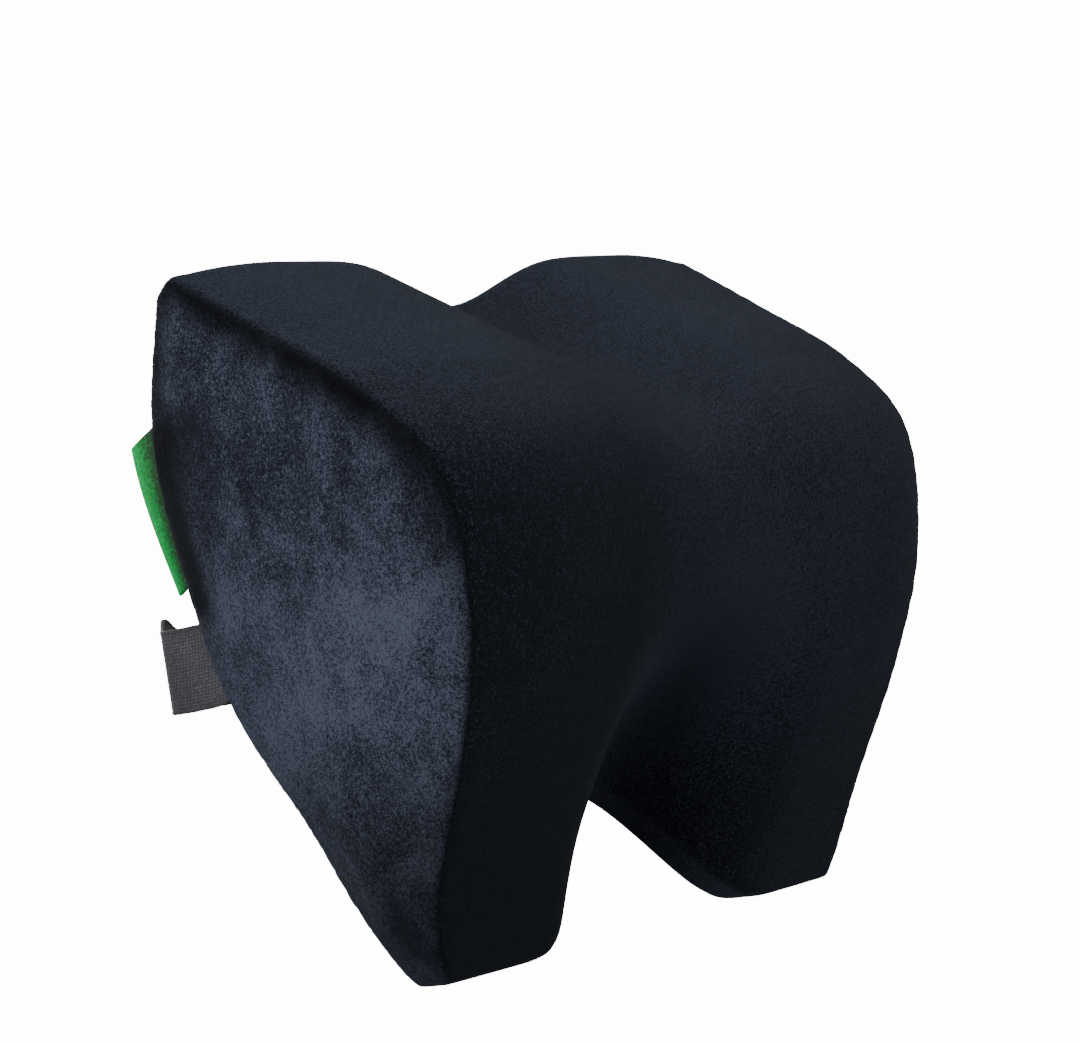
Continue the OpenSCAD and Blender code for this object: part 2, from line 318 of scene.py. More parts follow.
def build_cover():
    """The whole cover, tagged by panel, with each point's place along and off its seam."""
    us = column_places()
    grid, region = loop_at(us)
    n_u, n_l = grid.shape[:2]
    verts = [grid.reshape(-1, 3)]
    faces, tags = [], []
    for i in range(n_u - 1):
        for j in range(n_l):
            k = (j + 1) % n_l
            faces.append((i * n_l + j, i * n_l + k, (i + 1) * n_l + k, (i + 1) * n_l + j))
            tags.append(region[j])
    # Length along the seam, for the stitches
    seam = grid[0]
    steps = np.linalg.norm(np.roll(seam, -1, 0) - seam, axis=1)
    along = np.concatenate([[0], np.cumsum(steps)[:-1]])
    seam_s = [np.tile(along, n_u)]
    seam_d = [((1 - np.abs(us))[:, None] * half_width(grid[..., 2])).ravel()]
    base = n_u * n_l
    for side, tag, col in ((-1, SIDE_L, 0), (1, SIDE_R, n_u - 1)):
        pts, dist, a, (ang, order), tris = side_grid(side, grid[col])
        where = [col * n_l + i if i < n_l else base + i - n_l
                 for i in range(n_l + len(pts))]
        for f in tris:
            f = tuple(where[i] for i in f)
            faces.append(f if side > 0 else f[::-1])
            tags.append(tag)
        near = np.searchsorted(ang, a) % n_l
        seam_s.append(along[order[near]])
        seam_d.append(dist)
        verts.append(pts)
        base += len(pts)
    cover = make_mesh("cover", np.concatenate(verts), faces)
    set_attribute(cover, "seam_s", np.concatenate(seam_s))
    set_attribute(cover, "seam_d", np.concatenate(seam_d))
    mesh_tags = cover.data.attributes.new("region", "INT", "FACE")
    mesh_tags.data.foreach_set("value", np.array(tags, np.int32))
    face_outwards(cover)
    return cover, n_u, n_l


CLOTH_CAP = 6.0
CLOTH_FRAMES = 20
EVEN_PASSES = 10
HOLD_LOOSE, HOLD_TOP, HOLD_FIRM = 0.30, 0.8, 1.0


def even_out(obj, field, free):
    """Average a value per vertex with its neighbours, where it is free to change."""
    edges = np.zeros(len(obj.data.edges) * 2, np.int32)
    obj.data.edges.foreach_get("vertices", edges)
    a, b = edges.reshape(-1, 2).T
    count = np.bincount(edges, minlength=len(field))[:, None]
    for _ in range(EVEN_PASSES):
        total = np.zeros_like(field)
        np.add.at(total, a, field[b])
        np.add.at(total, b, field[a])
        field = np.where(free[:, None], (field + total) / (1 + count), field)
    return field


def plump(cover, n_u, n_l):
    """Pressure in the cover, with its seams and soles held, by cloth simulation."""
    start = coords(cover)
    hold = np.full(len(start), HOLD_LOOSE)
    hold[get_attribute(cover, "seam_d") < 0.5] = HOLD_FIRM
    wrap = slice(0, n_u * n_l)
    y, z = start[wrap, 1], start[wrap, 2]
    top = np.arange(n_u * n_l) % n_l == 0
    zipper = (np.abs(z - ZIP_Z) < ZIP_GAP) & (y > SHIFT_Y)
    hold[wrap][top] = HOLD_TOP
    hold[wrap][(z < 1.0) | zipper] = HOLD_FIRM
    group = cover.vertex_groups.new(name="held")
    for level in np.unique(hold):
        group.add(np.nonzero(hold == level)[0].tolist(), float(level), "REPLACE")
    mod = cover.modifiers.new("cloth", "CLOTH")
    s = mod.settings
    s.quality = 5
    s.mass = 0.3
    s.tension_stiffness = s.compression_stiffness = 18
    s.shear_stiffness = 8
    s.bending_stiffness = 0.6
    s.vertex_group_mass = "held"
    s.pin_stiffness = 1.2
    s.use_pressure = True
    s.uniform_pressure_force = 4.0
    s.effector_weights.gravity = 0.0
    s.shrink_min = -0.012
    mod.collision_settings.use_collision = False
    mod.collision_settings.use_self_collision = False
    mod.point_cache.frame_start, mod.point_cache.frame_end = 1, CLOTH_FRAMES
    scene = bpy.context.scene
    for f in range(1, CLOTH_FRAMES + 1):
        scene.frame_set(f)
    apply_modifiers(cover)
    scene.frame_set(1)
    moved = even_out(cover, coords(cover) - start, hold < HOLD_FIRM)
    size = np.linalg.norm(moved, axis=1, keepdims=True)
    moved *= np.minimum(1, CLOTH_CAP / np.maximum(size, 1e-9))
    end = start + moved
    end[:, 2] = np.maximum(end[:, 2], 0)
    set_coords(cover, end)
    cover.vertex_groups.clear()


def sew(cover):
    """Seam valleys, the puckers beside them, and the folded edges at the zipper."""
    co, nor = coords(cover), normals(cover)
    d = get_attribute(cover, "seam_d")
    s = get_attribute(cover, "seam_s")
    valley = -1.1 * np.exp(-(d / 1.5) ** 2) + 0.3 * np.exp(-((d - 5) / 4) ** 2)
    pucker = (np.sin(s * 2 * np.pi / 9.3 + 1.7 * np.sin(s / 23)) +
              0.6 * np.sin(s * 2 * np.pi / 14.1 + 2 + 1.3 * np.sin(s / 31)))
    pucker *= 0.09 * np.exp(-((d - 3) / 4.0) ** 2)
    back = co[:, 1] > back_y(co[:, 2]) - 12
    off = np.abs(co[:, 2] - ZIP_Z)
    lip = np.where(back & (off < 14), 0.9 * np.exp(-((off - ZIP_GAP / 2 - 0.4) / 2.2) ** 2)
                   * (off > ZIP_GAP / 2 - 0.7), 0)
    lip *= np.clip((half_width(co[:, 2]) - np.abs(co[:, 0]) - 4) / 16, 0, 1)
    floor = np.clip(co[:, 2] / 6, 0, 1)
    co += nor * ((valley + pucker) * floor + lip)[:, None]
    co[:, 2] = np.maximum(co[:, 2], 0)
    set_coords(cover, co)


def smooth_step(x, low, high):
    t = np.clip((x - low) / (high - low), 0, 1)
    return t * t * (3 - 2 * t)


def paint_light_and_shade(cover):
    """Painted shade and painted highlights on the cover, kept as per-vertex attributes."""
    d = get_attribute(cover, "seam_d")
    x, y, z = coords(cover).T
    front = y < CORE[0] + 25
    # Painted shade for the side panels: a band under the top seam, the tag's painted shadow beside
    # it, and darker towards the foot
    # Painted shade in a band under the top seam
    top = 0.98 * np.exp(-(d / 11.5) ** 2.5) * smooth_step(z, 95, 190)
    # Painted shadow of the tag on the side panel behind it
    window = smooth_step(z, 128, 146) * (1 - smooth_step(z, 200, 216))
    reach = 13 + 13 * np.clip((z - 128) / 75, 0, 1)
    tag = 1.3 * np.exp(-(d / reach) ** 4) * window * (y > CORE[0]) * (x < 0)
    # Darker towards the foot
    foot = 0.7 * (1 - smooth_step(z, 15, 105))
    set_attribute(cover, "shade", np.maximum(np.maximum(top, tag), foot))
    # Painted light for the wrap: a painted highlight beside the top seams, painted highlights in
    # the arch and on the far lobe, painted shade on the near lobe, and darker towards the foot
    rim = 0.22 * np.exp(-((d - 2.6) / 2.6) ** 2) * smooth_step(z, 170, 225) * front
    below = 1 - smooth_step(z, 150, 215)
    # Painted shade on the near lobe's front
    lobe = -0.62 * smooth_step(-x, 30, 70) * below
    # Painted highlight on the walls of the arch
    valley = np.exp(-((x - 18) / 38) ** 2 - ((z - 95) / 50) ** 2)
    # Painted light on the far lobe
    far = 0.10 * smooth_step(x, 55, 95) * below
    set_attribute(cover, "rim", rim + front * (lobe + valley + far - 0.9 * foot))
    # Painted light for the side panels: paler in the middle, and painted shade high up at the front
    middle = np.exp(-((z - 120) / 48) ** 2 - ((y + 20) / 60) ** 2)
    high_front = -0.12 * np.exp(-((z - 185) / 28) ** 2)
    set_attribute(cover, "side_painted_light", 0.26 * middle + high_front)


def split(cover, name, wanted):
    """A copy of the cover that keeps only the faces with these region tags."""
    obj = link(bpy.data.objects.new(name, cover.data.copy()))
    obj.data.name = name
    bm = bmesh.new()
    bm.from_mesh(obj.data)
    tag = bm.faces.layers.int["region"]
    bmesh.ops.delete(bm, geom=[f for f in bm.faces if f[tag] not in wanted], context="FACES")
    bm.to_mesh(obj.data)
    bm.free()
    return obj


def shrunk(cover, name, depth):
    """A copy of the cover that lies this far inside it."""
    obj = link(bpy.data.objects.new(name, cover.data.copy()))
    obj.data.name = name
    set_coords(obj, coords(obj) - normals(obj) * depth)
    return obj


cover, n_columns, n_loop = build_cover()
plump(cover, n_columns, n_loop)
liner = shrunk(cover, "liner_bag", 2.2)
foam = shrunk(cover, "foam_block", 3.4)
subdivide(cover)
sew(cover)
paint_light_and_shade(cover)

front_cover = split(cover, "front_cover", {FRONT})
back_upper = split(cover, "back_cover_upper", {BACK_UP})
back_lower = split(cover, "back_cover_lower", {BACK_LOW})
side_left = split(cover, "side_cover_left", {SIDE_L})
side_right = split(cover, "side_cover_right", {SIDE_R})
zip_tape = split(cover, "zipper_tapes", {ZIPPER})
bpy.data.objects.remove(cover)


# ---- node materials -----------------------------------------------------------

class Nodes:
    """A short way to write a material's node tree."""

    def __init__(self, name):
        self.material = bpy.data.materials.new(name)
        self.material.use_nodes = True
        self.tree = self.material.node_tree
        self.shader = self.tree.nodes["Principled BSDF"]

    def add(self, kind, inputs=None, **settings):
        node = self.tree.nodes.new(kind)
        for key, value in settings.items():
            setattr(node, key, value)
        for key, value in (inputs or {}).items():
            self.set(node.inputs[key], value)
        return node

    def set(self, socket, value):
        if isinstance(value, bpy.types.NodeSocket):
            self.tree.links.new(value, socket)
        else:
            socket.default_value = value

    def place(self):
        return self.add("ShaderNodeTexCoord").outputs["Object"]

    def scaled(self, x, y, z):
        node = self.add("ShaderNodeMapping", {"Vector": self.place(), "Scale": (x, y, z)})
        return node.outputs["Vector"]

    def noise(self, scale, detail=2.0, vector=None, rough=0.5, distortion=0.0):
        node = self.add("ShaderNodeTexNoise", {
            "Vector": vector or self.place(), "Scale": scale, "Detail": detail,
            "Roughness": rough, "Distortion": distortion})
        return node.outputs["Fac"]

    def math(self, kind, a, b=0.0, c=0.0):
        node = self.add("ShaderNodeMath", operation=kind)
        for socket, value in zip(node.inputs, (a, b, c)):
            self.set(socket, value)
        return node.outputs["Value"]

    def ramp(self, value, stops):
        node = self.add("ShaderNodeValToRGB", {"Fac": value})
        elements = node.color_ramp.elements
        while len(elements) < len(stops):
            elements.new(0.5)
        for e, (at, colour) in zip(elements, stops):
            e.position = at
            e.color = (*colour, 1)
        return node.outputs["Color"]

    def mix(self, fac, a, b):
        node = self.add("ShaderNodeMix", data_type="RGBA")
        self.set(node.inputs[0], fac)
        for socket, value in ((node.inputs[6], a), (node.inputs[7], b)):
            if isinstance(value, tuple) and len(value) == 3:
                value = (*value, 1)
            self.set(socket, value)
        return node.outputs[2]

    def attribute(self, name):
        return self.add("ShaderNodeAttribute", attribute_name=name).outputs["Fac"]

    def bell(self, value, width):
        """1 at value 0, falling smoothly to nothing past the width."""
        square = self.math("POWER", self.math("DIVIDE", value, width), 2.0)
        return self.math("POWER", math.e, self.math("MULTIPLY", square, -1.0))

    def bump(self, height, strength, distance_mm, normal=None):
        inputs = {"Height": height, "Strength": strength, "Distance": distance_mm * MM}
        if normal is not None:
            inputs["Normal"] = normal
        return self.add("ShaderNodeBump", inputs).outputs["Normal"]

    def finish(self, **sockets):
        for key, value in sockets.items():
            name = key.replace("_", " ")
            if isinstance(value, tuple) and len(value) == 3:
                value = (*value, 1)
            self.set(self.shader.inputs[name], value)
        return self.material


STITCH = 2.6
NAVY = (0.50, 0.62, 0.90)


def velour(name, dark, mid, pale, patch, grit, sheen):
    """Short-pile velour: fine nap, brushed patches and dark seam lines, with painted shade and
    painted highlights laid in from per-vertex attributes.
    """
    m = Nodes(name)
    nap = m.noise(1700, 2.0, rough=0.75)
    fleck = m.noise(1000, 3.0, vector=m.scaled(1.0, 1.0, 0.7), rough=0.7, distortion=0.5)
    brushed = m.noise(34, 3.0, rough=0.6, distortion=0.9)
    streak = m.noise(80, 2.0, vector=m.scaled(1.0, 1.0, 0.4), rough=0.6, distortion=0.4)
    tone = m.math("MULTIPLY_ADD", brushed, 0.55, m.math("MULTIPLY", streak, 0.45))
    tone = m.math("MULTIPLY_ADD", m.math("SUBTRACT", tone, 0.5), patch, 0.5)
    for grain, share in ((fleck, grit * 0.7), (nap, grit)):
        tone = m.math("MULTIPLY_ADD", m.math("SUBTRACT", grain, 0.5), share, tone)
    # Painted highlights and painted shade, per vertex, added to the tone
    tone = m.math("ADD", tone, m.attribute("rim"))
    colour = m.ramp(tone, [(0.08, dark), (0.5, mid), (0.95, pale)])
    # A dark line at the seams themselves, then painted shade mixed towards near-black: the band
    # under the top seam, the tag's painted shadow, and darker towards the foot
    near = m.bell(m.attribute("seam_d"), 1.4)
    ragged = m.math("MULTIPLY_ADD", m.math("SUBTRACT", streak, 0.5), -0.5, 1.0)
    flat = m.add("ShaderNodeClamp", {"Value": m.math("MULTIPLY", m.attribute("shade"), ragged)})
    shade = m.math("MAXIMUM", m.math("MULTIPLY", near, 0.7), flat.outputs["Result"])
    colour = m.mix(shade, colour, tuple(c * 0.2 for c in dark))
    stitch = m.math("SINE", m.math("MULTIPLY", m.attribute("seam_s"), 2 * math.pi / STITCH))
    height = m.math("MULTIPLY_ADD", nap, 0.4, m.math("MULTIPLY", fleck, 0.6))
    normal = m.bump(height, 0.9, 1.0)
    normal = m.bump(m.math("MULTIPLY", stitch, near), 0.35, 0.25, normal)
    return m.finish(Base_Color=colour, Roughness=0.95, Normal=normal,
                    Sheen_Weight=sheen, Sheen_Roughness=0.5,
                    Sheen_Tint=NAVY, Specular_IOR_Level=0.08)


WRAP = velour("velour_wrap", (0.0008, 0.0011, 0.0022), (0.0048, 0.0058, 0.0100),
              (0.0165, 0.0192, 0.0305), 0.7, 6.0, 0.07)
SIDE = velour("velour_side", (0.0022, 0.0028, 0.0052), (0.0122, 0.0147, 0.0236),
              (0.0420, 0.0490, 0.0715), 1.7, 2.5, 0.03)


def plain_weave(name, dark, pale, pitch_mm):
    """Threads that cross at this pitch, with a little fuzz."""
    m = Nodes(name)
    k = 1 / (pitch_mm * MM)
    inputs = {"Vector": m.scaled(k, k, k), "Scale": 1.0, "Distortion": 0.6}
    warp, weft = [m.add("ShaderNodeTexWave", inputs, wave_type="BANDS", bands_direction=axis)
                  for axis in "XZ"]
    weave = m.math("MULTIPLY", warp.outputs["Fac"], weft.outputs["Fac"])
    tone = m.math("MULTIPLY_ADD", m.noise(900, 2.0), 0.5, m.math("MULTIPLY", weave, 0.5))
    colour = m.ramp(tone, [(0.2, dark), (0.75, pale)])
    return m.finish(Base_Color=colour, Roughness=0.85, Sheen_Weight=0.1,
                    Normal=m.bump(tone, 0.5, 0.25))


def foam_material():
    """Open-celled memory foam, cream and unevenly yellowed."""
    m = Nodes("memory_foam")
    cells = m.add("ShaderNodeTexVoronoi", {"Vector": m.place(), "Scale": 900.0}).outputs["Distance"]
    tone = m.math("MULTIPLY_ADD", m.noise(60, 3.0), 0.4, m.math("MULTIPLY", cells, 0.8))
    colour = m.ramp(tone, [(0.1, (0.62, 0.55, 0.40)), (0.8, (0.86, 0.82, 0.68))])
    return m.finish(Base_Color=colour, Roughness=0.9, Normal=m.bump(cells, 0.6, 0.4))


def moulded(name, colour, rough, grain_mm, metallic=0.0):
    """Moulded plastic or lacquered metal, with a fine grain and handling wear."""
    m = Nodes(name)
    grain = m.noise(1 / (grain_mm * MM), 3.0)
    wear = m.noise(140, 4.0, rough=0.6)
    dark, pale = tuple(c * 0.75 for c in colour), tuple(min(1, c * 1.5) for c in colour)
    return m.finish(Base_Color=m.ramp(wear, [(0.3, dark), (0.75, pale)]),
                    Roughness=m.math("MULTIPLY_ADD", wear, 0.25, rough), Metallic=metallic,
                    Normal=m.bump(grain, 0.25, 0.05))


def webbing_material():
    """Knitted elastic: ribs along its length, small loops across, darker edges."""
    m = Nodes("elastic_webbing")
    a, s = m.attribute("across"), m.attribute("along")
    rib = m.math("SINE", m.math("MULTIPLY", a, 2 * math.pi / 1.15))
    slant = m.math("MULTIPLY_ADD", a, 0.7, m.math("MULTIPLY", s, 2 * math.pi / 1.3))
    loop = m.math("SINE", m.math("MULTIPLY_ADD", rib, 0.6, slant))
    fuzz = m.noise(1300, 3.0, rough=0.75)
    worn = m.noise(70, 2.0)
    tone = m.math("MULTIPLY_ADD", rib, 0.07, m.math("MULTIPLY_ADD", loop, 0.07, 0.5))
    for grain, share in ((fuzz, 1.3), (worn, 0.5)):
        tone = m.math("MULTIPLY_ADD", m.math("SUBTRACT", grain, 0.5), share, tone)
    colour = m.ramp(tone, [(0.10, (0.006, 0.0062, 0.0080)), (0.5, (0.021, 0.0215, 0.0265)),
                           (0.95, (0.062, 0.063, 0.074))])
    share = m.math("DIVIDE", a, STRAP_HALF)
    edge = m.math("POWER", m.math("ABSOLUTE", share), 12.0)
    colour = m.mix(m.math("MULTIPLY", edge, 0.75), colour, (0.008, 0.007, 0.008))
    height = m.math("MULTIPLY_ADD", loop, 0.3, rib)
    return m.finish(Base_Color=colour, Roughness=0.8, Sheen_Weight=0.15, Sheen_Roughness=0.5,
                    Normal=m.bump(m.math("MULTIPLY_ADD", fuzz, 0.8, height), 0.3, 0.18),
                    Specular_IOR_Level=0.25)


def ribbon_material():
    """Satin ribbon: fine ribs across it, a soft gloss, and painted shade towards its seam."""
    m = Nodes("tag_ribbon")
    a, s = m.attribute("across"), m.attribute("along")
    rib = m.math("SINE", m.math("MULTIPLY", a, 2 * math.pi / 0.7))
    pick = m.math("SINE", m.math("MULTIPLY", s, 2 * math.pi / 0.55))
    fuzz = m.noise(1200, 2.0)
    tone = m.math("MULTIPLY_ADD", rib, 0.05, m.math("MULTIPLY_ADD", pick, 0.04, fuzz))
    # Painted light: paler out at the fold, painted shade towards the seam where the ribbon meets
    # the cushion
    tone = m.math("MULTIPLY_ADD", m.math("SUBTRACT", m.attribute("fold"), 0.7), 0.9, tone)
    colour = m.ramp(tone, [(0.05, (0.0, 0.020, 0.003)), (0.45, (0.0, 0.17, 0.028)),
                           (0.9, (0.0, 0.33, 0.075))])
    return m.finish(Base_Color=colour, Roughness=0.65, Specular_IOR_Level=0.3,
                    Normal=m.bump(m.math("MULTIPLY_ADD", rib, 0.5, pick), 0.4, 0.1))


def paint(obj, material):
    obj.data.materials.clear()
    obj.data.materials.append(material)
    return obj


# ---- strap --------------------------------------------------------------------

# Where the strap leaves the seam, turns back and runs across, as in the CAD source
STRAP_HALF = (strap_hi[2] - strap_lo[2]) / 2
STRAP_T = 1.4
SEAM_X, SEAM_Y = half_width(STRAP_Z), float(back_y(STRAP_Z))
LEG_X = SEAM_X + 0.3 + 1.5 * STRAP_T + 0.9
BEND_Y = SEAM_Y + 22
RUN_Y = SEAM_Y + 51.4
RUN_X = 96
STRAP_STEP = 1.6


def resample(points, step):
    """Points about a step apart along a polyline, and how far along it each is."""
    p = np.asarray(points, float)
    seg = np.linalg.norm(np.diff(p, axis=0), axis=1)
    s = np.concatenate([[0], np.cumsum(seg)])
    at = np.linspace(0, s[-1], max(2, int(round(s[-1] / step)) + 1))
    return np.stack([np.interp(at, s, p[:, k]) for k in range(p.shape[1])], 1), at


def ribbon(name, line, along, section, lift):
    """Sweeps a flat section, (out of the face, across), along a line in plan."""
    n, m = len(line), len(section)
    tangent = np.gradient(line, axis=0)
    tangent /= np.linalg.norm(tangent, axis=1, keepdims=True)
    side = np.stack([-tangent[:, 1], tangent[:, 0]], 1)
    sec = np.asarray(section, float)
    verts = np.zeros((n, m, 3))
    verts[..., :2] = line[:, None] + side[:, None] * sec[None, :, :1]
    verts[..., 2] = STRAP_Z + sec[None, :, 1] + lift[:, None]
    faces = [(i * m + j, i * m + (j + 1) % m, (i + 1) * m + (j + 1) % m, (i + 1) * m + j)
             for i in range(n - 1) for j in range(m)]
    faces += [tuple(range(m))[::-1], tuple(range((n - 1) * m, n * m))]
    obj = make_mesh(name, verts.reshape(-1, 3), faces)
    set_attribute(obj, "across", np.tile(sec[:, 1], n))
    set_attribute(obj, "along", np.repeat(along, m))
    return face_outwards(obj)


def webbing_section(half, thick, edge=0.35):
    """A flat band with rolled edges, as (out, across) points."""
    a = np.linspace(-half + 1.2, half - 1.2, 25)
    flat = [(thick / 2, x) for x in a]
    roll = thick / 2 + edge
    cap = [(roll * math.cos(q), half - roll + roll * math.sin(q))
           for q in np.radians([20, 50, 90, 130, 160])]
    return flat + cap + [(-o, -x) for o, x in flat + cap]


def build_strap():
    """The webbing, from inside the left seam round behind the cushion to the right one."""
    left = [(-SEAM_X + 2.2, SEAM_Y - 4), (-SEAM_X - 0.2, SEAM_Y + 0.5),
            (-LEG_X + 2, SEAM_Y + 8), (-LEG_X + 0.4, BEND_Y - 8),
            (-LEG_X + 0.9, BEND_Y - 2.8), (-LEG_X + 5, BEND_Y),
            (-LEG_X + 24, RUN_Y - 15), (-RUN_X - 13, RUN_Y - 2), (-RUN_X, RUN_Y)]
    dense = curve(left, np.linspace(0, 1, 60 * len(left)))
    half_line, _ = resample(dense, STRAP_STEP)
    mirror = half_line[::-1] * np.array([-1, 1])
    line, along = resample(np.concatenate([half_line, mirror]), STRAP_STEP)
    # The webbing climbs a little as it turns the corner
    off = np.abs(line[:, 0])
    rise = 4.4 * smooth_step(LEG_X - off, 1, 10) * smooth_step(off, 100, 135)
    return ribbon("strap_band", line, along, webbing_section(STRAP_HALF, STRAP_T), rise)


strap = paint(build_strap(), webbing_material())


# ---- tag ----------------------------------------------------------------------

TAG_LEN = 57.0
TAG_Z = tag_lo[2] + TAG_LEN / 2 + 0.9
TAG_T = 0.45


def build_tag():
    """A ribbon folded in two and sewn in at its ends, so that its fold sags."""
    rows, q = np.linspace(0, 1, 49), np.linspace(0, 1, 49)
    n, m = len(q), 2 * len(q)
    verts, across, along, fold = [], [], [], []
    for h in rows:
        reach = 7 + 4 * h
        belly = 0.9 + 1.5 * h ** 2
        droop = 2.6 + 3.8 * h
        lean = math.radians(18 * h - 18)
        half = belly * np.sin(np.pi * q) ** 0.8 * np.sign(0.5 - q) * np.abs(2 * q - 1) ** 0.5
        out = 1 - np.abs(2 * q - 1) ** 1.9
        loop = np.stack([half, reach * out], 1)
        t = np.gradient(loop, axis=0)
        t /= np.maximum(np.linalg.norm(t, axis=1, keepdims=True), 1e-9)
        normal = np.stack([-t[:, 1], t[:, 0]], 1)
        seam_z = TAG_Z + (h - 0.5) * TAG_LEN + 2
        z = seam_z - droop * out
        base = np.array([-half_width(seam_z) + 0.8, float(back_y(seam_z)) - 0.6])
        c, sn = math.cos(lean), math.sin(lean)
        turn = np.array([[c, -sn], [sn, c]])
        for sign in (1, -1):
            plan = (loop + sign * TAG_T / 2 * normal) @ turn.T + base
            verts.append(np.column_stack([plan, z]))
        across.append(np.full(m, (h - 0.5) * TAG_LEN))
        arc = np.concatenate([[0], np.cumsum(np.linalg.norm(np.diff(loop, axis=0), axis=1))])
        along.append(np.tile(arc, 2))
        # How far out towards the fold each point is, from which the ribbon's painted shade is made
        fold.append(np.tile(out, 2))
    ring = list(range(n)) + list(range(m - 1, n - 1, -1))
    faces = []
    for k in range(len(rows) - 1):
        for a, b in zip(ring, ring[1:] + ring[:1]):
            faces.append((k * m + a, k * m + b, (k + 1) * m + b, (k + 1) * m + a))
    for k in (0, len(rows) - 1):
        faces += [(k * m + j, k * m + j + 1, k * m + n + j + 1, k * m + n + j)
                  for j in range(n - 1)]
    obj = make_mesh("ribbon_tag", np.concatenate(verts), faces)
    set_attribute(obj, "across", np.concatenate(across))
    set_attribute(obj, "along", np.concatenate(along))
    set_attribute(obj, "fold", np.concatenate(fold))
    return face_outwards(obj)


tag = paint(build_tag(), ribbon_material())


# ---- zipper and adjuster --------------------------------------------------------

ZIP_TILT = math.atan((back_y(ZIP_Z + 4) - back_y(ZIP_Z - 4)) / 8)
COIL_LO, COIL_HI = box_mm("zipper_coil_upper")
COIL_MID, COIL_RISE, COIL_HALF = 1.6, 0.75, (0.62, 0.95)
COIL_PITCH, COIL_WIRE = 1.5, 0.28
COIL_STEPS = 12
STITCH_GAP, THREAD_R, STITCH_ROW = 0.7, 0.24, ZIP_GAP / 2 + 3.2
BEHIND = 150


def on_back(points):
    """From the zipper's own flat frame (along, out, across) to the slope of the back."""
    x, y, z = points.T
    c, sn = math.cos(ZIP_TILT), math.sin(ZIP_TILT)
    return np.stack([x, back_y(ZIP_Z) + y * c + z * sn, ZIP_Z - y * sn + z * c], 1)


def tube(name, path, radius, sides=6):
    """A closed round tube along a path, both in the same units."""
    tangent = np.gradient(path, axis=0)
    tangent /= np.linalg.norm(tangent, axis=1, keepdims=True)
    across = np.cross(tangent, (1.0, 0.0, 0.0))
    across /= np.linalg.norm(across, axis=1, keepdims=True)
    other = np.cross(tangent, across)
    q = np.arange(sides) * 2 * np.pi / sides
    ring = across[:, None] * np.cos(q)[:, None] + other[:, None] * np.sin(q)[:, None]
    verts = (path[:, None] + radius * ring).reshape(-1, 3)
    n = len(path)
    faces = [(i * sides + j, i * sides + (j + 1) % sides,
              (i + 1) * sides + (j + 1) % sides, (i + 1) * sides + j)
             for i in range(n - 1) for j in range(sides)]
    faces += [tuple(range(sides))[::-1], tuple(range((n - 1) * sides, n * sides))]
    return face_outwards(make_mesh(name, verts, faces))


def coil(name, side):
    """One half of the zipper: a flattened helix of nylon wire."""
    turns = int((COIL_HI[0] - COIL_LO[0] - 1) / COIL_PITCH)
    q = np.arange(turns * COIL_STEPS + 1) * 2 * np.pi / COIL_STEPS
    x = (q / (2 * np.pi) - turns / 2) * COIL_PITCH + side * COIL_PITCH / 4
    flat = np.stack([x, COIL_RISE + COIL_HALF[0] * np.sin(q),
                     side * COIL_MID + COIL_HALF[1] * np.cos(q)], 1)
    return tube(name, on_back(flat), COIL_WIRE)


def rounded_copy(node, name, width):
    """A CAD node's shape with its edges rounded off."""
    obj = link(bpy.data.objects.new(name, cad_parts[node].data.copy()))
    bm = bmesh.new()
    bm.from_mesh(obj.data)
    bmesh.ops.remove_doubles(bm, verts=bm.verts, dist=1e-6)
    bmesh.ops.dissolve_limit(bm, angle_limit=math.radians(1), verts=bm.verts, edges=bm.edges)
    bm.to_mesh(obj.data)
    bm.free()
    return bevel(obj, width, 3)


def stitch_row(name, panel, offset):
    """Topstitching on a panel beside the zipper, each stitch lying on the cloth."""
    tree = BVHTree.FromObject(panel, bpy.context.evaluated_depsgraph_get())
    verts, faces = [], []
    z = ZIP_Z + offset
    reach = half_width(z) - 9
    for x in np.arange(-reach, reach, STITCH + STITCH_GAP):
        hits = [tree.ray_cast(Vector((at, BEHIND, z)) * MM, Vector((0, -1, 0)))[0]
                for at in (x, x + STITCH)]
        if None in hits:
            continue
        first, last = np.array(hits) / MM
        t = np.linspace(0, 1, 7)[:, None]
        path = first + t * (last - first)
        path[:, 1] += 0.22 * np.sin(np.pi * t[:, 0]) - 0.05
        base = len(verts)
        for k, p in enumerate(path):
            r = THREAD_R * math.sqrt(max(1 - (2 * k / 6 - 1) ** 2, 0.12))
            for a in np.arange(6) * math.pi / 3:
                verts.append(p + r * np.array([0, math.cos(a), math.sin(a)]))
        faces += [(base + k * 6 + j, base + k * 6 + (j + 1) % 6,
                   base + (k + 1) * 6 + (j + 1) % 6, base + (k + 1) * 6 + j)
                  for k in range(6) for j in range(6)]
        faces += [tuple(range(base, base + 6))[::-1], tuple(range(base + 36, base + 42))]
    return face_outwards(make_mesh(name, verts, faces))


coil_upper = coil("zipper_teeth_upper", 1)
coil_lower = coil("zipper_teeth_lower", -1)
adjuster = rounded_copy("strap_slider", "adjuster_frame", 0.9)
zip_slider = rounded_copy("zipper_slider", "zipper_slider_body", 0.22)
zip_pull = rounded_copy("zipper_pull", "zipper_pull_tab", 0.3)
stitches = [stitch_row("zipper_stitches_upper", back_upper, STITCH_ROW),
            stitch_row("zipper_stitches_lower", back_lower, -STITCH_ROW)]


# ---- materials on the covers --------------------------------------------------

